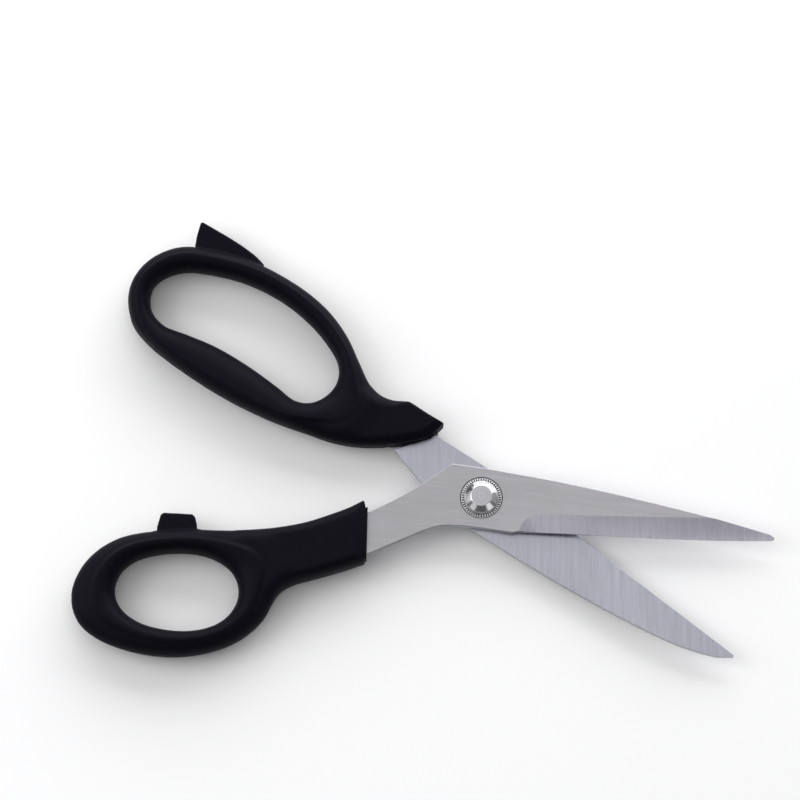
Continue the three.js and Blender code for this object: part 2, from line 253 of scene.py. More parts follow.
def relaxed(vertices, faces, amount=0.5):
    """Each vertex moved towards the mean of its neighbours."""
    total = np.zeros_like(vertices)
    count = np.zeros(len(vertices))
    for k in range(4):
        a, b = faces[:, k], faces[:, (k + 1) % 4]
        for here, there in ((a, b), (b, a)):
            np.add.at(total, here, vertices[there])
            np.add.at(count, here, 1)
    return vertices + amount * (total / count[:, None] - vertices)


# ---- Handles -----------------------------------------------------------------------------------

HANDLE_MIDDLE = 6.5  # height of the parting plane
HANDLE_HALF = 6.45  # from the parting plane to the crest of each ring
HANDLE_STEP = 1.0  # spacing of points along a handle's outline
SURFACE_MARGIN = 0.02  # a handle's surface stays this far inside its CAD node's depth
LUG_STANDS_OUT = 0.4  # an outline that stands out further than this is the lug's
LUG_ROOT = 6  # how far a lug runs on into its handle

NET_STEP = 0.55  # cell of the grid on which a handle's surface is found
NET_MARGIN = 2  # from the outline to the edge of that grid
MAP_STEP = 0.3  # cell of the maps of distances
RELAX_ROUNDS = 4
PROBE = 0.05  # length over which a field's slope is measured
LEAST_SLOPE = 0.05
LONGEST_MOVE = 0.3

RING_POWER = 2.15  # squareness of a ring's section, where 2 is an ellipse
RING_SLOPE = 4.0  # brings the ring's field nearer to one unit a millimetre
RING_BLEND = 3.0  # between the ring's edge at the outline and its edge under the neck
LEAST_RING = 3
LIP_RUN = (0.14, 0.02)  # the lip rises over this stretch short of the crest, in shares of the width

NECK_SUNK_HALF = 2.4  # half the neck's thickness where it lies inside the ring
NECK_SINK = 3.0  # how far its edge draws in there
NECK_EDGE_DEPTH = 0.8  # depth of the neck's rounded edge, as a share of its half thickness
NECK_FROM_HOLE = (3, 14)  # the neck rises over this distance from the hole
NECK_OPEN = (8, 13)  # and its outline is at full width beyond this one
NECK_OFF_HOLE = 5.5  # it keeps this far from the hole
NECK_OFF_SLOPE = 1.6
BAND_SLOPE = 0.9  # brings the sloping band's field to about one unit a millimetre
END_ROUND = 0.3
VALLEY = (0.2, 2.8)  # softness of the valley between ring and neck: at the outline, and what is added inside
VALLEY_RUN = (0.5, 5)

# What differs between the handles. crest is where a ring's highest line lies, from its outer edge (0) to the
# hole (1), and lip is how much lower it stands outside that line. band_slope is how far the band at the
# collar's end drops for each millimetre along. The rest is in millimetres.
FINGER = SimpleNamespace(
    crest=0.44,
    ring_reach=17.5,  # the ring is at most this wide, which matters where the neck joins it
    lip=0.1,
    neck_half=5.3,
    neck_rise=(-88, -60),
    neck_open=(-88, -80),
    edge=3.6,
    end_band=2.4,  # width of the sloping band at the collar's end
    band_slope=0.8,
    lug_half=1.6,
    lug_blend=0.8,
)
THUMB = SimpleNamespace(
    crest=0.53,
    ring_reach=18.5,
    lip=0.16,
    neck_half=5.9,
    neck_rise=(-104, -70),
    neck_open=(-104, -96),
    edge=3.6,
    end_band=3.4,
    band_slope=0.42,
    lug_half=1.9,
    lug_blend=2.2,
)

# The pad along the finger bow's lower bar, and the crisp nose of its collar.
PAD_ACROSS = (-4, 3)
PAD_START = (-136, -122)
PAD_END = (-76, -60)
PAD_CREST = 0.2  # how far the crest moves outwards on the pad
NOSE_ALONG = (-43, -38)
NOSE_ACROSS = (6, 11)
NOSE_CRISP = 2.7  # how much less the nose's edge is rounded

# The stretches of each handle's outline that are the collar's end.
FINGER_END_X = -36.5
FINGER_END_Y = 14.5
THUMB_END_X = -39.0
THUMB_END_Y = (-27.6, -6.5)


def smooth_min(a, b, k):
    """The lower of two fields, rounded where they meet."""
    h = np.clip(0.5 + 0.5 * (b - a) / k, 0, 1)
    return b + (a - b) * h - k * h * (1 - h)


def smooth_max(a, b, k):
    """The higher of two fields, rounded where they meet."""
    return -smooth_min(-a, -b, k)


def ramp(x, low, high):
    """From 0 at low to 1 at high, level at both ends."""
    t = np.clip((x - low) / (high - low), 0, 1)
    return t * t * (3 - 2 * t)


def round_plate(inward, z, half, edge, edge_depth):
    """A level plate whose edges are rounded; inward is the distance in from its outline."""
    a = np.maximum(0, 1 - inward / edge)
    b = np.maximum(0, (np.abs(z) - half + edge_depth) / edge_depth)
    return (np.hypot(a, b) - 1) * np.minimum(edge, edge_depth)


def thin_plate(inward, z, half, edge=0.6):
    """A thin level plate with a small radius on its edges."""
    q = np.stack(np.broadcast_arrays(edge - inward, np.abs(z) - half + edge))
    return np.minimum(q.max(0), 0) + np.hypot(*np.maximum(q, 0)) - edge


def handle_loops(node, height, angle):
    """A handle's outline, its hole, and the outline of the lug that stands out from it."""
    base, hole = [smooth_loop(l, HANDLE_STEP) for l in section(node, height, angle)[:2]]
    full = corners_of(section(node, HANDLE_MIDDLE, angle)[0], CORNER)[0]
    outside = depth_in(full, base) < -LUG_STANDS_OUT
    first = int(np.flatnonzero(outside & ~np.roll(outside, 1))[0])
    lug = np.roll(full, -first, 0)[: int(outside.sum())]
    centre = lug.mean(0)
    root = base[np.argmin(np.hypot(*(base - centre).T))]
    sink = (root - centre) / np.hypot(*(root - centre)) * LUG_ROOT
    return base, hole, np.vstack([lug, lug[-1:] + sink, lug[:1] + sink])


class DistanceMaps:
    """Distances from a handle's outline, collar end, hole and lug, laid out on a grid to be read anywhere."""

    def __init__(self, base, hole, lug, is_end):
        both = np.vstack([base, lug])
        self.low = np.array([base[:, 0].min(), both[:, 1].min()]) - NET_MARGIN
        self.high = np.array([base[:, 0].max(), both[:, 1].max()]) + NET_MARGIN
        axes = [np.arange(self.low[i], self.high[i] + MAP_STEP, MAP_STEP) for i in (0, 1)]
        grid = np.stack(np.meshgrid(*axes, indexing="ij"), -1).reshape(-1, 2)
        sign = np.where(inside(grid, base), 1, -1)
        starts, ends = base, np.roll(base, -1, 0)
        maps = [
            distance(grid, starts[~is_end], ends[~is_end]) * sign,
            distance(grid, starts[is_end], ends[is_end]) * sign,
            -depth_in(grid, hole),
            depth_in(grid, lug),
        ]
        self.maps = np.stack(maps).reshape(4, len(axes[0]), len(axes[1]))

    def read(self, x, y):
        """The four distances at any place."""
        u = np.clip((x - self.low[0]) / MAP_STEP, 0, self.maps.shape[1] - 1.001)
        v = np.clip((y - self.low[1]) / MAP_STEP, 0, self.maps.shape[2] - 1.001)
        i, j = u.astype(int), v.astype(int)
        fu, fv = u - i, v - j
        near = self.maps[:, i, j] * (1 - fv) + self.maps[:, i, j + 1] * fv
        far = self.maps[:, i + 1, j] * (1 - fv) + self.maps[:, i + 1, j + 1] * fv
        return near * (1 - fu) + far * fu


def handle_mesh(name, loops, is_end, shape, angle, material):
    """The moulded handle as one closed surface: a ring round the hole, the collar's neck and the lug."""
    base, hole, lug = loops
    maps = DistanceMaps(base, hole, lug, is_end(base))

    def field(x, y, z):
        return shape(x, y, z - HANDLE_MIDDLE, *maps.read(x, y))

    counts = np.ceil((maps.high - maps.low) / NET_STEP).astype(int) + 1
    lines = [maps.low[i] + NET_STEP * np.arange(counts[i]) for i in (0, 1)]
    gx, gy = np.meshgrid(*lines, indexing="ij")
    levels = np.arange(-1.5 * NET_STEP, 2 * HANDLE_MIDDLE + 2.5 * NET_STEP, NET_STEP)
    values = np.stack([field(gx, gy, np.full_like(gx, z)) for z in levels], -1)
    vertices, faces = surface_net(values, np.array([*maps.low, levels[0]]), NET_STEP)
    for _ in range(RELAX_ROUNDS):
        vertices = relaxed(vertices, faces)
        vertices = onto_surface(vertices, field)
        vertices = onto_surface(vertices, field)
    return new_piece(name, vertices, faces.tolist(), angle, [material])


def onto_surface(points, field):
    """Each point moved along the field's slope to where the field is zero."""
    steps = np.eye(3) * PROBE
    slope = np.stack([(field(*(points + s).T) - field(*(points - s).T)) / (2 * PROBE) for s in steps], 1)
    value = field(*points.T)
    move = slope * (value / np.maximum((slope**2).sum(1), LEAST_SLOPE))[:, None]
    length = np.hypot(np.hypot(move[:, 0], move[:, 1]), move[:, 2])
    return points - move * np.minimum(1, LONGEST_MOVE / np.maximum(length, 1e-9))[:, None]


def ring_section(sizes, crest, side, end, from_hole, z):
    """A ring round the hole, which is highest along its crest and drops by the lip outside it."""
    outer = smooth_min(np.minimum(side, end), sizes.ring_reach - from_hole, RING_BLEND)
    width = np.maximum(outer + from_hole, LEAST_RING)
    a = np.maximum(0, 1 - outer / (crest * width))
    b = np.maximum(0, 1 - from_hole / ((1 - crest) * width))
    on_crest = ramp(outer / width, crest - LIP_RUN[0], crest - LIP_RUN[1])
    half = HANDLE_HALF * (1 - sizes.lip * (1 - on_crest))
    c = np.abs(z) / half
    return ((a**RING_POWER + b**RING_POWER + c**RING_POWER) ** (1 / RING_POWER) - 1) * RING_SLOPE


def neck_section(sizes, near, edge, x, side, end, from_hole, z):
    """The collar and its neck, which sink into the ring where near falls to 0; its end is a sloping band."""
    sink = (1 - near) * (1 - ramp(from_hole, *NECK_OPEN) * ramp(x, *sizes.neck_open))
    half = NECK_SUNK_HALF + (sizes.neck_half - NECK_SUNK_HALF) * near
    neck = round_plate(side - NECK_SINK * sink, z, half, edge, half * NECK_EDGE_DEPTH)
    band = (np.abs(z) - half + (sizes.end_band - end) * sizes.band_slope) * BAND_SLOPE
    neck = smooth_max(neck, smooth_max(band, -end, END_ROUND), END_ROUND)
    return neck + np.maximum(0, NECK_OFF_HOLE - from_hole) * NECK_OFF_SLOPE


def handle_shape(sizes, crest, edge, x, z, side, end, from_hole, in_lug):
    """Ring, neck and lug with soft valleys between them, kept inside the outline and the handle's depth."""
    near = ramp(x, *sizes.neck_rise) * ramp(from_hole, *NECK_FROM_HOLE)
    ring = ring_section(sizes, crest, side, end, from_hole, z)
    neck = neck_section(sizes, near, edge, x, side, end, from_hole, z)
    body = smooth_min(ring, neck, VALLEY[0] + VALLEY[1] * ramp(side, *VALLEY_RUN))
    body = np.maximum(body, np.maximum(-side, np.abs(z) - HANDLE_MIDDLE + SURFACE_MARGIN))
    return smooth_min(body, thin_plate(in_lug, z, sizes.lug_half), sizes.lug_blend)


def finger_shape(x, y, z, side, end, from_hole, in_lug):
    """The finger handle, whose crest moves outwards along the pad and whose collar has a crisp nose."""
    pad = ramp(-y, *PAD_ACROSS) * ramp(x, *PAD_START) * (1 - ramp(x, *PAD_END))
    crest = FINGER.crest - PAD_CREST * pad
    edge = FINGER.edge - NOSE_CRISP * ramp(x, *NOSE_ALONG) * ramp(y, *NOSE_ACROSS)
    return handle_shape(FINGER, crest, edge, x, z, side, end, from_hole, in_lug)


def thumb_shape(x, y, z, side, end, from_hole, in_lug):
    """The thumb handle, whose crest and rounded edges are the same all along it."""
    return handle_shape(THUMB, THUMB.crest, THUMB.edge, x, z, side, end, from_hole, in_lug)


def finger_end(base):
    """Which steps of the finger handle's outline are the collar's end."""
    return (base[:, 0] > FINGER_END_X) & (base[:, 1] < FINGER_END_Y)


def thumb_end(base):
    """Which steps of the thumb handle's outline are the collar's end."""
    x, y = base.T
    return (x > THUMB_END_X) & (y > THUMB_END_Y[0]) & (y < THUMB_END_Y[1])


# ---- Blades ------------------------------------------------------------------------------------

OUTLINE_STEP = 1.2
BORE_STEP = 0.35
BLADE_CORNER = 9  # degrees: a sharper turn of a blade's outline stays a corner
SHOULDER_WIDTH = 0.2  # the dressed edge of the outer face
SHOULDER_DROP = 0.12
CRISP = 0.06  # the edges that grinding leaves sharp
LARGEST_DROP = 0.3  # of the thickness that is left
BORE_SHARE = 0.5  # a bore's upper edge lies between crisp (0) and dressed (1)
GROUND_AWAY = 0.01  # an outline ground away by more than this has no dressed edge
BOW_START = 8.0  # the blades bow apart from here to the tip
BOW_POWER = 0.6  # under 1, so that they are furthest apart nearer the pivot than the tip

EDGE_LEFT = 0.12  # thickness left at the cutting edge
HOLLOW_START = 0.42  # slope of the ground face at its top line
GRIND_WIDTH = 6.4  # from the top line to the thinnest place
HEEL_EASE = 0.6  # share of the slope at the heel
HEEL_RUN = (14, 46)  # the slope grows to the whole over this stretch
HEEL_STEP = 0.5
GRIND_PIECES = 40  # points along the top line, so that it bends with the blade's bow
GROUND_FAR = -40.0  # the ground area reaches past the cutting edge to here

# The ground face's top line, closed: an arc up from the cutting edge at the heel, then straight on past the
# spine.
GRIND_HEEL = np.array([[14.1, -10.6], [14.3, -9.3], [15.1, -6.9], [16.4, -5.1], [18.4, -3.9], [21.2, -3.3]])
GRIND_END = np.array([112.0, 7.7])
GRIND_ALONG = (GRIND_END - GRIND_HEEL[-1]) / np.hypot(*(GRIND_END - GRIND_HEEL[-1]))

# Points that fill a face: their spacing, and how clear they stay of the lines round them.
GROUND_FROM_HEEL = 0.6
GROUND_SPACING = (2.2, 0.9)
GROUND_CLEAR = 0.35
LEVEL_SPACING = (2.5, 2.5)
LEVEL_CLEAR = 0.8
LINE_PAST_EDGE = 4.0

# The bolt's seat in the front blade.
SEAT_RADIUS = 7.2
SEAT_DEPTH = 0.5
SEAT_CHAMFER = 0.1

FRONT_BOW = 0.8
BACK_BOW = 1.2

OUTER_FACE, GROUND_FACE, INNER_FACE, CHAMFER, SIDE, SEAT = range(6)  # a blade's material slots; SEAT is painted shade in the bolt's recess
BLADE_SHARP = 12  # degrees between faces that shade as an edge
MERGE = 0.004
NO_AREA = 0.002


class Blade:
    """A blade shaped closed with its ground face up and its cutting edge towards -Y."""

    def __init__(self, outline, holes, bottom, top, has_seat, bow):
        self.outline = outline
        self.holes = holes  # the pivot bore comes first
        self.bottom = bottom
        self.top = top
        self.has_seat = has_seat
        self.bow = bow
        heel = spline(GRIND_HEEL, HEEL_STEP)
        steps = np.linspace(0, 1, GRIND_PIECES)[:, None]
        self.line = np.vstack([heel, GRIND_HEEL[-1] + (GRIND_END - GRIND_HEEL[-1]) * steps])
        far = [[GRIND_END[0], GROUND_FAR], [GRIND_HEEL[0][0], GROUND_FAR]]
        self.ground = np.vstack([self.line, far])

    def from_line(self, points):
        return distance(points, self.line[:-1], self.line[1:])

    def fall(self, points):
        """How far grinding takes the upper face down: a hollow that is steepest at its top line."""
        x, y = points.T
        reach = (y - GRIND_END[1]) * GRIND_ALONG[0] - (x - GRIND_END[0]) * GRIND_ALONG[1]
        away = self.from_line(points)
        away = np.where(reach < 0, np.minimum(away, -reach), away)
        t = np.where(inside(points, self.ground), away, 0)
        t = t * (HEEL_EASE + (1 - HEEL_EASE) * ramp(x, *HEEL_RUN))
        most = self.top - self.bottom - EDGE_LEFT
        bend = (HOLLOW_START * GRIND_WIDTH - most) / GRIND_WIDTH**2
        return np.clip(HOLLOW_START * t - bend * t * t, 0, most)

    def bowed(self, x):
        """How far the blade stands away from its partner at each place along it."""
        t = np.clip((x - BOW_START) / (self.outline[:, 0].max() - BOW_START), 0, 1)
        return self.bow * (0.5 - 0.5 * np.cos(2 * np.pi * t**BOW_POWER))


def offset_loop(loop, inward):
    """An anticlockwise loop moved inwards by a small distance."""
    into = loop - np.roll(loop, 1, 0)
    away = np.roll(loop, -1, 0) - loop
    into /= np.hypot(*into.T)[:, None]
    away /= np.hypot(*away.T)[:, None]
    normal = np.stack([-(into + away)[:, 1], (into + away)[:, 0]], 1)
    normal /= np.maximum(np.hypot(*normal.T), 1e-6)[:, None]
    reach = 1 / np.maximum(0.5, np.sqrt((1 + (into * away).sum(1)) / 2))
    return loop + normal * (inward * reach)[:, None]


def ring_of(loop, radius):
    """The loop, which is a circle about the pivot, at another radius."""
    return loop * radius / np.hypot(*loop.T).mean()


def filled(loops, lines, spots):
    """Triangles that fill the first loop outside the others, with the lines kept as edges."""
    points, edges = [], []
    for loop in loops:
        start = len(points)
        points += [Vector(p) for p in loop]
        edges += [(start + i, start + (i + 1) % len(loop)) for i in range(len(loop))]
    for line in lines:
        start = len(points)
        points += [Vector(p) for p in line]
        edges += [(start + i, start + i + 1) for i in range(len(line) - 1)]
    points += [Vector(p) for p in spots]
    verts, _, tris, _, _, _ = delaunay_2d_cdt(points, edges, [], 0, 1e-5)
    verts = np.array([tuple(v) for v in verts])
    tris = np.array([t for t in tris if len(t) == 3])
    middle = verts[tris].mean(1)
    keep = inside(middle, loops[0])
    for hole in loops[1:]:
        keep &= ~inside(middle, hole)
    return verts, tris[keep]


def fill_points(blade, rim):
    """Points inside the rim: on the ground face, on the level part of the outer face, and all over."""
    low, high = blade.outline.min(0), blade.outline.max(0)

    def spots(start, spacing):
        xs = np.arange(start, high[0], spacing[0])
        ys = np.arange(low[1], high[1], spacing[1])
        return np.stack(np.meshgrid(xs, ys), -1).reshape(-1, 2)

    fine = spots(GRIND_HEEL[0][0] + GROUND_FROM_HEEL, GROUND_SPACING)
    fine = fine[(depth_in(fine, rim) > GROUND_CLEAR) & inside(fine, blade.ground)]
    fine = fine[blade.from_line(fine) > GROUND_CLEAR]
    wide = spots(BOW_START, LEVEL_SPACING)
    wide = wide[depth_in(wide, rim) > LEVEL_CLEAR]
    level = wide[~inside(wide, blade.ground) & (blade.from_line(wide) > LEVEL_CLEAR)]
    return fine, level, wide


class BladeMesh:
    """Gathers a blade's vertices, faces and material slots."""

    def __init__(self, blade):
        self.blade = blade
        self.vertices = []
        self.faces = []
        self.slots = []

    def add(self, points, heights):
        start = len(self.vertices)
        self.vertices.extend(np.column_stack([points, heights]).tolist())
        return start

    def add_face(self, points, triangles, heights, slots):
        start = self.add(points, heights)
        self.faces += (triangles + start).tolist()
        self.slots += slots

    def add_edge(self, loop, inset, upper, share, is_bore):
        """The wall along a loop, with its chamfers, and the bolt's seat round the bore."""
        blade = self.blade
        rim_top = blade.top - blade.fall(loop)
        drop = CRISP + (SHOULDER_DROP - CRISP) * share
        drop = np.minimum(drop, (rim_top - blade.bottom) * LARGEST_DROP)
        base = np.full(len(loop), blade.bottom)
        rings = [(inset, base, CHAMFER), (loop, base + CRISP * 0.5, SIDE)]
        if is_bore and blade.has_seat:
            seat = np.full(len(loop), blade.top - SEAT_DEPTH)
            wide = ring_of(loop, SEAT_RADIUS)
            # The seat's floor and wall take the near-black seat material: painted shade in the recess round
            # the washer.
            rings += [(loop, seat, SEAT), (wide, seat, SEAT)]
            rings += [(wide, seat + SEAT_DEPTH - SEAT_CHAMFER, CHAMFER), (upper, seat + SEAT_DEPTH, CHAMFER)]
        else:
            rings += [(loop, rim_top - drop, CHAMFER), (upper, blade.top - blade.fall(upper), CHAMFER)]
        n = len(loop)
        starts = [self.add(points, heights) for points, heights, _ in rings]
        for a, b, (_, _, slot) in zip(starts[:-1], starts[1:], rings[:-1]):
            quads = [[a + i, a + (i + 1) % n, b + (i + 1) % n, b + i] for i in range(n)]
            self.faces += quads if loop is blade.outline else [q[::-1] for q in quads]
            self.slots += [slot] * n

    def finish(self, name, flip, angle, materials):
        """The mesh object, bowed and turned to its place, with the shared edges joined."""
        blade = self.blade
        vertices = np.array(self.vertices)
        vertices[:, 2] += blade.bowed(vertices[:, 0])
        if flip:
            vertices[:, 1] *= -1
            vertices[:, 2] = blade.bottom + blade.top - vertices[:, 2]
        piece = new_piece(name, vertices, self.faces, angle, materials)
        mesh = piece.data
        mesh.polygons.foreach_set("material_index", self.slots)
        edit = bmesh.new()
        edit.from_mesh(mesh)
        bmesh.ops.delete(edit, geom=[v for v in edit.verts if not v.link_faces], context="VERTS")
        bmesh.ops.remove_doubles(edit, verts=edit.verts, dist=MERGE * MM)
        bmesh.ops.dissolve_degenerate(edit, edges=edit.edges, dist=NO_AREA * MM)
        edit.to_mesh(mesh)
        edit.free()
        mesh.set_sharp_from_angle(angle=math.radians(BLADE_SHARP))
        return piece


def blade_mesh(name, blade, flip, angle, materials):
    """A blade as one closed mesh, with a material in each of its slots."""
    loops = [blade.outline, *blade.holes]
    signs = [1, *[-1 for _ in blade.holes]]
    dressed = np.where(blade.fall(blade.outline) > GROUND_AWAY, 0.0, 1.0)
    dressed = (np.roll(dressed, 1) + dressed + np.roll(dressed, -1)) / 3
    shares = [dressed, *[np.full(len(l), BORE_SHARE) for l in blade.holes]]
    insets = [offset_loop(l, np.full(len(l), CRISP * sign)) for l, sign in zip(loops, signs)]
    uppers = [
        offset_loop(l, (CRISP + (SHOULDER_WIDTH - CRISP) * share) * sign)
        for l, share, sign in zip(loops, shares, signs)
    ]
    if blade.has_seat:
        uppers[1] = ring_of(blade.holes[0], SEAT_RADIUS + SEAT_CHAMFER)

    fine, level, wide = fill_points(blade, uppers[0])
    line = blade.line[depth_in(blade.line, insets[0]) > -LINE_PAST_EDGE]
    upper, upper_tris = filled(uppers, [line], np.vstack([fine, level]))
    lower, lower_tris = filled(insets, [], wide)
    ground = inside(upper[upper_tris].mean(1), blade.ground)
    upper_slots = [GROUND_FACE if g else OUTER_FACE for g in ground]

    made = BladeMesh(blade)
    made.add_face(upper, upper_tris, blade.top - blade.fall(upper), upper_slots)
    bottom = np.full(len(lower), blade.bottom)
    made.add_face(lower, lower_tris[:, ::-1], bottom, [INNER_FACE] * len(lower_tris))
    for loop, inset, upper_loop, share in zip(loops, insets, uppers, shares):
        made.add_edge(loop, inset, upper_loop, share, loop is blade.holes[0])
    return made.finish(name, flip, angle, materials)


def make_blade(node, height, flip, angle, has_seat, bow, materials):
    """A blade drawn from its CAD node's outline, which is read at a height that grinding doesn't reach."""
    low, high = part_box(node)
    cut = section(node, height, angle)
    loops = [smooth_loop(cut[0], OUTLINE_STEP, BLADE_CORNER), *[smooth_loop(l, BORE_STEP) for l in cut[1:]]]
    if flip:
        loops = [l[::-1] * (1, -1) for l in loops]
    bore = min(loops[1:], key=lambda l: np.hypot(*l.mean(0)))
    holes = [l for l in loops[1:] if l is not bore]
    blade = Blade(loops[0], [bore, *holes], low.z / MM, high.z / MM, has_seat, bow)
    return blade_mesh(node + "_ground", blade, flip, angle, materials)


# ---- Pivot hardware ----------------------------------------------------------------------------

AROUND = 128  # steps round a turned piece
TURNED_SHARP = 24  # degrees between faces that shade as an edge

SHANK_RADIUS = 2.5
SHANK_CHAMFER = 0.4
FLAT_RADIUS = 3.55  # of the flat top of the bolt's head
CONE_HEIGHT = 1.85
ROUND_UNDER = 0.15
ROUND_SHOULDER = 0.2
ROUND_TOP = 0.16
HEAD_GAP = 0.05  # the bolt's head clears the lock washer by this

WASHER_BORE = 2.7
TEETH = 48
TOOTH_STEPS = 8
TOOTH_DEPTH = 0.36
TOOTH_POWER = 0.8  # under 1, so that the teeth are wider than the valleys
TOOTH_RINGS = ((5.3, 0), (5.9, 0), (6.02, 0.8), (6.2, 1), (6.45, 1), (6.6, 0.75), (6.74, 0))  # radius, rise
VALLEY_BELOW = 0.9  # a face has the valleys' darker material, which is painted shade between the teeth, where its two sides' waves add up to less than this
WASHER_SHARP = 50

POLISHED, SATIN = range(2)  # the bolt's material slots
RING, TOOTH_VALLEY_SHADE = range(2)  # and the lock washer's: plain ring steel, and the valleys' painted shade


def lathed(name, profile, materials):
    """A closed solid turned about the pivot axis.

    Each profile point has a radius, a height, and the material slot of the face that starts there.
    """
    vertices, faces, slots, rings = [], [], [], []
    for radius, height, _ in profile:
        if radius == 0:
            rings.append([len(vertices)] * AROUND)
            vertices.append((0.0, 0.0, height))
        else:
            rings.append(list(range(len(vertices), len(vertices) + AROUND)))
            for i in range(AROUND):
                angle = 2 * math.pi * i / AROUND
                vertices.append((radius * math.cos(angle), radius * math.sin(angle), height))
    for a, b, (_, _, slot) in zip(rings[:-1], rings[1:], profile):
        for i in range(AROUND):
            j = (i + 1) % AROUND
            faces.append(list(dict.fromkeys((a[i], a[j], b[j], b[i]))))
            slots.append(slot)
    piece = new_piece(name, vertices, faces, 0.0, materials, TURNED_SHARP)
    piece.data.polygons.foreach_set("material_index", slots)
    return piece


def rounded_corner(before, corner, after, radius, slot, count=4):
    """Profile points round a corner."""
    before, corner, after = (np.array(p, float) for p in (before, corner, after))
    u = (before - corner) / np.hypot(*(before - corner))
    v = (after - corner) / np.hypot(*(after - corner))
    out = []
    for t in np.linspace(0, 1, count + 1):
        p = corner + u * radius * (1 - t) ** 2 + v * radius * t**2
        out.append((*p, slot))
    return out


def make_bolt(materials):
    """The bolt: a plain shank, and a head with a straight side, a cone and a flat satin top."""
    _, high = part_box("pivot_bolt")
    _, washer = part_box("toothed_lock_washer")
    top, head = high.z / MM, high.x / MM
    under = washer.z / MM + HEAD_GAP
    shoulder = top - CONE_HEIGHT
    profile = [
        (0, 0, POLISHED),
        (SHANK_RADIUS - SHANK_CHAMFER, 0, POLISHED),
        (SHANK_RADIUS, SHANK_CHAMFER, POLISHED),
        (SHANK_RADIUS, under, POLISHED),
        *rounded_corner((SHANK_RADIUS, under), (head, under), (head, shoulder), ROUND_UNDER, POLISHED),
        *rounded_corner((head, under), (head, shoulder), (FLAT_RADIUS, top), ROUND_SHOULDER, POLISHED),
        *rounded_corner((head, shoulder), (FLAT_RADIUS, top), (0, top), ROUND_TOP, POLISHED)[:-1],
        (FLAT_RADIUS - ROUND_TOP, top, SATIN),
        (0, top, SATIN),
    ]
    return lathed("pivot_bolt_turned", profile, materials)


def make_lock_washer(materials):
    """The ring with radial teeth pressed in its upper face."""
    low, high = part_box("toothed_lock_washer")
    bottom, top, rim = low.z / MM, high.z / MM, high.x / MM
    floor = top - TOOTH_DEPTH
    profile = [(WASHER_BORE, bottom, 0), (WASHER_BORE, floor, 0)]
    profile += [(radius, floor, rise) for radius, rise in TOOTH_RINGS]
    profile += [(rim, floor, 0), (rim, bottom, 0)]
    around = TEETH * TOOTH_STEPS
    angles = 2 * math.pi * np.arange(around) / around
    tooth = 0.5 - 0.5 * np.cos(angles * TEETH)
    rings = []
    for radius, level, rise in profile:
        height = level + TOOTH_DEPTH * rise * tooth**TOOTH_POWER
        rings.append(np.column_stack([radius * np.cos(angles), radius * np.sin(angles), height]))
    faces, slots = [], []
    for k, (_, _, rise) in enumerate(profile):
        after = (k + 1) % len(profile)
        toothed = rise > 0 or profile[after][2] > 0
        a, b = k * around, after * around
        for i in range(around):
            j = (i + 1) % around
            faces.append([a + i, b + i, b + j, a + j])
            # Faces down in the valleys get the darker material: painted shade between the teeth.
            slots.append(TOOTH_VALLEY_SHADE if toothed and tooth[i] + tooth[j] < VALLEY_BELOW else RING)
    piece = new_piece("lock_washer_teeth", np.vstack(rings), faces, 0.0, materials, WASHER_SHARP)
    piece.data.polygons.foreach_set("material_index", slots)
    return piece


# ---- Materials ---------------------------------------------------------------------------------

MIDDLE = (0.3, 0.7)  # a noise lies mostly between these


class Nodes:
    """A material's node tree, with short calls that add and join nodes."""

    def __init__(self, name):
        self.material = bpy.data.materials.new(name)
        self.material.use_nodes = True
        self.tree = self.material.node_tree
        self.shader = self.tree.nodes["Principled BSDF"]

    def add(self, kind, inputs=None, **settings):
        node = self.tree.nodes.new(kind)
        for key, value in settings.items():
            setattr(node, key, value)
        for key, value in (inputs or {}).items():
            self.set(node.inputs[key], value)
        return node

    def set(self, socket, value):
        if isinstance(value, bpy.types.NodeSocket):
            self.tree.links.new(value, socket)
        else:
            socket.default_value = value

    def surface(self, **values):
        for key, value in values.items():
            self.set(self.shader.inputs[key.replace("_", " ")], value)

    def place(self, scale=(1, 1, 1), rotation=0.0):
        """The point on the object, turned about the pivot axis and then stretched."""
        where = self.add("ShaderNodeTexCoord").outputs["Object"]
        turn = self.add("ShaderNodeVectorRotate", {"Vector": where, "Angle": rotation})
        stretch = self.add("ShaderNodeVectorMath", {0: turn.outputs[0], 1: scale}, operation="MULTIPLY")
        return stretch.outputs[0]

    def from_axis(self):
        """A point whose only coordinate is the distance from the pivot axis."""
        flat = self.place((1, 1, 0))
        radius = self.add("ShaderNodeVectorMath", {0: flat}, operation="LENGTH").outputs[1]
        return self.add("ShaderNodeCombineXYZ", {0: radius}).outputs[0]

    def noise(self, where, scale, detail=3.0, roughness=0.5):
        inputs = {"Vector": where, "Scale": scale, "Detail": detail, "Roughness": roughness}
        return self.add("ShaderNodeTexNoise", inputs).outputs[0]

    def spread(self, value, low, high, to_low, to_high):
        inputs = {0: value, 1: low, 2: high, 3: to_low, 4: to_high}
        return self.add("ShaderNodeMapRange", inputs).outputs[0]

    def math(self, operation, a, b=0.0):
        return self.add("ShaderNodeMath", {0: a, 1: b}, operation=operation).outputs[0]

    def blend(self, factor, a, b):
        node = self.add("ShaderNodeMix", data_type="RGBA")
        for socket, value in ((node.inputs[0], factor), (node.inputs[6], a), (node.inputs[7], b)):
            self.set(socket, value)
        return node.outputs[2]

    def shade(self, factor, colour, contrast):
        """The colour where the factor is 1, and darker by the contrast where it is 0."""
        return self.blend(factor, (*[c * (1 - contrast) for c in colour], 1), (*colour, 1))

    def bump(self, height, strength, distance_mm):
        inputs = {"Height": height, "Strength": strength, "Distance": distance_mm * MM}
        return self.add("ShaderNodeBump", inputs).outputs[0]


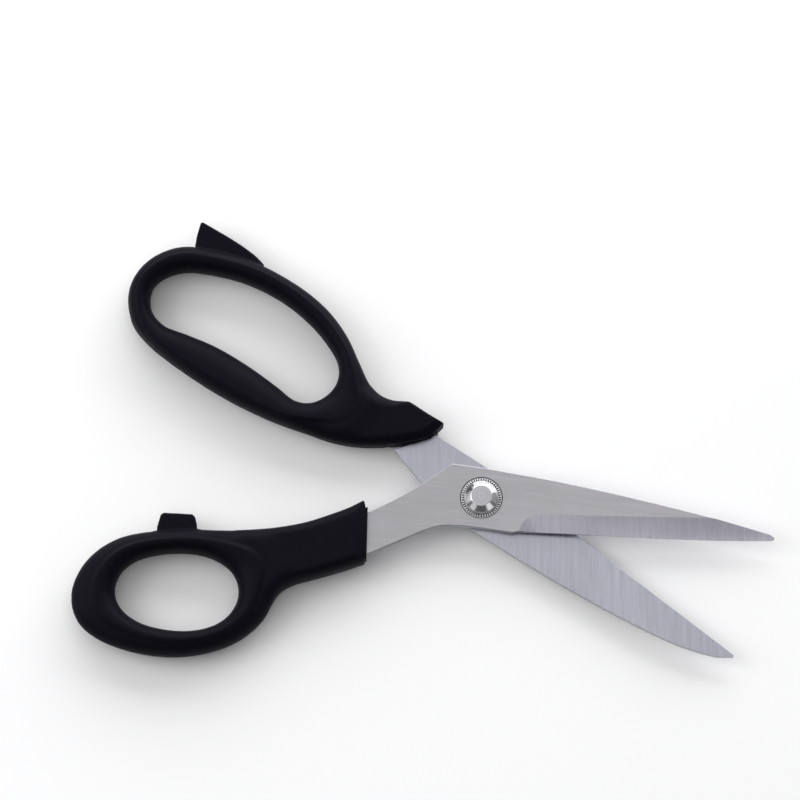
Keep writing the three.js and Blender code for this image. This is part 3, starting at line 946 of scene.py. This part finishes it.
def grained_plastic():
    """Matte black moulded plastic with a fine spark-eroded grain."""
    n = Nodes("handle_plastic")
    where = n.place()
    grain = n.noise(where, 2600, 2.0, 0.6)
    cloud = n.noise(where, 60, 3.0)
    factor = n.spread(grain, 0.35, 0.7, 0, 1)
    colour = n.blend(factor, (0.0014, 0.0012, 0.0036, 1), (0.0048, 0.0042, 0.0100, 1))
    rough = n.math("ADD", n.spread(grain, *MIDDLE, 0.44, 0.56), n.spread(cloud, *MIDDLE, -0.03, 0.03))
    n.surface(Base_Color=colour, Roughness=rough, Normal=n.bump(grain, 0.55, 0.12), Specular_IOR_Level=0.058)
    return n.material


def plain_plastic(name, colour, rough):
    """Smooth moulded plastic."""
    n = Nodes(name)
    fine = n.noise(n.place(), 900, 2.0)
    n.surface(Base_Color=n.shade(n.spread(fine, *MIDDLE, 0, 1), colour, 0.2))
    n.surface(Roughness=n.spread(fine, *MIDDLE, rough - 0.05, rough + 0.05))
    n.surface(Normal=n.bump(fine, 0.2, 0.02), Specular_IOR_Level=0.1)
    return n.material


def brushed_steel(name, colour, rough, angle, grain, arcs=False, depth=0.5, contrast=0.16, through=0.5):
    """Steel with fine lines along one direction, at that angle to X.

    grain is the scale of the noise across the lines, and through is how much it changes with height.
    arcs adds the scratches that the partner blade leaves round the pivot.
    """
    n = Nodes(name)
    where = n.place()
    lines = n.place((0.035, 1, through), -angle)
    fine = n.noise(lines, grain, 3.0, 0.65)
    broad = n.noise(lines, grain * 0.22, 3.0, 0.6)
    cloud = n.noise(where, 28, 4.0, 0.55)
    height = n.math("ADD", n.math("MULTIPLY", fine, 0.6), n.math("MULTIPLY", broad, 0.4))
    factor = n.math("ADD", height, n.spread(cloud, *MIDDLE, -0.12, 0.12))
    tint = n.shade(n.spread(factor, *MIDDLE, 0, 1), colour, contrast)
    worn = n.spread(height, *MIDDLE, rough - 0.06, rough + 0.07)
    if arcs:
        band = n.noise(n.from_axis(), 900, 2.0, 0.7)
        patch = n.spread(n.noise(where, 95, 2.0), 0.52, 0.62, 0, 1)
        scratch = n.math("MULTIPLY", n.spread(band, 0.63, 0.68, 0, 1), patch)
        tint = n.blend(n.math("MULTIPLY", scratch, 0.4), tint, (0.22, 0.22, 0.24, 1))
        height = n.math("SUBTRACT", height, n.math("MULTIPLY", scratch, 0.3))
    n.surface(Base_Color=tint, Metallic=1.0, Roughness=worn, Normal=n.bump(height, depth, 0.02))
    return n.material


def turned_steel(name, colour, rough, rings=2200.0, strength=0.15, contrast=0.1):
    """Steel turned on a lathe: very fine rings about the pivot axis."""
    n = Nodes(name)
    line = n.noise(n.from_axis(), rings, 2.0, 0.6)
    cloud = n.noise(n.place(), 300, 3.0)
    tint = n.shade(n.spread(line, *MIDDLE, 0, 1), colour, contrast)
    n.surface(Base_Color=tint, Metallic=1.0, Roughness=n.spread(cloud, *MIDDLE, rough * 0.85, rough * 1.2))
    n.surface(Normal=n.bump(line, strength, 0.01))
    return n.material


# ---- Camera, floor and light -------------------------------------------------------------------

CAMERA_ELEVATION = math.radians(76)
CAMERA_AIM = Vector((-0.0276, 0.0341, 0.0086))
FIELD_WIDTH = 0.272  # metres across the picture, at the blades
LENS = 400.0
SENSOR = 36.0
NEAREST = 0.01

FLOOR_REACH = 3.0
FLOOR_HEIGHT = -0.0003  # just under the handles

SKY = (0.95, 0.97, 1.0, 1)
SKY_STRENGTH = 0.12

# Each light's name, place, aim, sides and power.
LIGHTS = (
    ("top", (-0.6, 0.2, 1.25), (-0.3, 0.1, 0), (2.6, 2.6), 15.5),
    ("back", (0.4, 1.9, 0.8), (0, 0, 0), (4.8, 1.6), 88.0),
    ("left_high", (-1.5, 0.2, 1.1), (0, 0, 0), (1.2, 1.2), 11.0),
    ("right_high", (1.5, 0.0, 1.2), (0, 0, 0), (1.2, 1.2), 1.8),
    ("left", (-1.9, 0.35, 0.6), (0, 0, 0), (2.0, 1.0), 3.2),
    ("right", (1.9, 0.1, 0.5), (0, 0, 0), (1.4, 0.8), 0.9),
    ("front_left", (-1.2, -1.2, 0.55), (0, 0, 0), (0.9, 0.8), 1.5),
    ("front_right", (1.2, -1.2, 0.55), (0, 0, 0), (0.9, 0.8), 2.2),
)


def link(thing):
    bpy.context.scene.collection.objects.link(thing)


def make_camera():
    back = Vector((0, -math.cos(CAMERA_ELEVATION), math.sin(CAMERA_ELEVATION)))
    data = bpy.data.cameras.new("camera")
    data.lens = LENS
    data.sensor_width = SENSOR
    data.clip_start = NEAREST
    camera = bpy.data.objects.new("camera", data)
    camera.location = CAMERA_AIM + back * (LENS / SENSOR * FIELD_WIDTH)
    camera.rotation_euler = (-back).to_track_quat("-Z", "Y").to_euler()
    link(camera)
    bpy.context.scene.camera = camera


def make_floor():
    corners = [(-1, -1), (1, -1), (1, 1), (-1, 1)]
    mesh = bpy.data.meshes.new("floor")
    mesh.from_pydata([(x * FLOOR_REACH, y * FLOOR_REACH, 0) for x, y in corners], [], [(0, 1, 2, 3)])
    n = Nodes("floor_white")
    cloud = n.noise(n.place(), 8, 2.0)
    n.surface(Base_Color=n.blend(cloud, (0.86, 0.86, 0.87, 1), (0.88, 0.88, 0.88, 1)), Roughness=0.6)
    mesh.materials.append(n.material)
    floor = bpy.data.objects.new("floor", mesh)
    floor.location.z = FLOOR_HEIGHT
    link(floor)


def make_light():
    world = bpy.data.worlds.new("studio")
    world.use_nodes = True
    sky = world.node_tree.nodes["Background"].inputs
    sky["Color"].default_value = SKY
    sky["Strength"].default_value = SKY_STRENGTH
    bpy.context.scene.world = world
    for name, place, aim, size, power in LIGHTS:
        data = bpy.data.lights.new(name, "AREA")
        data.shape = "RECTANGLE"
        data.size, data.size_y = size
        data.energy = power
        light = bpy.data.objects.new(name, data)
        light.location = place
        light.rotation_euler = (Vector(aim) - Vector(place)).to_track_quat("-Z", "Y").to_euler()
        link(light)


# ---- Assembly ----------------------------------------------------------------------------------

# The heights at which outlines are read: a handle's off its lug, and a blade's off its ground face.
FINGER_CUT = 8.9
THUMB_CUT = 4.3
FRONT_CUT = 6.5
BACK_CUT = 5.55

ACROSS = math.radians(90)  # the ground faces' lines run straight across a closed blade
SATIN_GREY = (0.48, 0.47, 0.49)
CORE_BLACK = (0.002, 0.002, 0.003)

bpy.context.scene.view_settings.view_transform = "Standard"
make_camera()
make_floor()
make_light()

plastic = grained_plastic()
outer = brushed_steel("steel_satin_face", SATIN_GREY, 0.34, THUMB_TURN, 2600)
outer_back = brushed_steel("steel_satin_back", SATIN_GREY, 0.34, FINGER_TURN, 2600)
ground = brushed_steel(
    "steel_ground_bevel", (0.53, 0.52, 0.60), 0.3, ACROSS, 2800, depth=0.45, contrast=0.3, through=0.05
)
inner = brushed_steel(
    "steel_ground_inside", (0.515, 0.515, 0.59), 0.3, ACROSS, 2800, True, 0.45, contrast=0.24, through=0.05
)
chamfer = brushed_steel("steel_blade_edge", (0.34, 0.34, 0.36), 0.42, 0.0, 1500)
stamped = brushed_steel("steel_stamped_side", (0.5, 0.5, 0.52), 0.45, 0.0, 1500)
# A darker steel for the washer's tooth valleys: painted shade, not a different metal.
valley_shade_steel = brushed_steel("steel_tooth_valley_painted_shade", (0.12, 0.12, 0.125), 0.4, 0.0, 1500)
# A near-black steel for the bolt's seat: painted shade in the recess, not a different metal.
seat_shade_steel = brushed_steel("steel_bolt_seat_painted_shade", (0.05, 0.05, 0.055), 0.5, 0.0, 1500)
polished = turned_steel("steel_polished", (0.72, 0.72, 0.73), 0.19)
satin_top = turned_steel("steel_satin_top", (0.575, 0.565, 0.60), 0.3, 1400.0, 0.5, 0.25)
ring_steel = turned_steel("steel_ring", (0.74, 0.74, 0.75), 0.34)


def assemble(piece, node, body):
    """The piece rides on a body and stands for the CAD node that it details."""
    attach(piece, body)
    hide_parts(node)


finger_loops = handle_loops("finger_handle", FINGER_CUT, FINGER_TURN)
thumb_loops = handle_loops("thumb_handle", THUMB_CUT, THUMB_TURN)
finger = handle_mesh("finger_handle_moulding", finger_loops, finger_end, finger_shape, FINGER_TURN, plastic)
thumb = handle_mesh("thumb_handle_moulding", thumb_loops, thumb_end, thumb_shape, THUMB_TURN, plastic)
shared = [ground, inner, chamfer, stamped, seat_shade_steel]
front = make_blade("front_blade", FRONT_CUT, False, THUMB_TURN, True, FRONT_BOW, [outer, *shared])
back = make_blade("back_blade", BACK_CUT, True, FINGER_TURN, False, BACK_BOW, [outer_back, *shared])
assemble(finger, "finger_handle", "finger_half")
assemble(thumb, "thumb_handle", "thumb_half")
assemble(front, "front_blade", "thumb_half")
assemble(back, "back_blade", "finger_half")
assemble(make_bolt([polished, satin_top]), "pivot_bolt", "thumb_half")
assemble(make_lock_washer([ring_steel, valley_shade_steel]), "toothed_lock_washer", "thumb_half")

carried = {
    "thumb_tang_core": plain_plastic("core_plastic", CORE_BLACK, 0.5),
    "finger_tang_core": plain_plastic("core_plastic_back", CORE_BLACK, 0.5),
    "bearing_washer": plain_plastic("bearing_plastic", (0.75, 0.73, 0.68), 0.4),
    "disc_spring": turned_steel("steel_spring", (0.4, 0.4, 0.41), 0.3),
    "tension_nut": turned_steel("steel_nut", (0.6, 0.6, 0.61), 0.22),
}
for node, material in carried.items():
    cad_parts[node].data.materials.clear()
    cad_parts[node].data.materials.append(material)
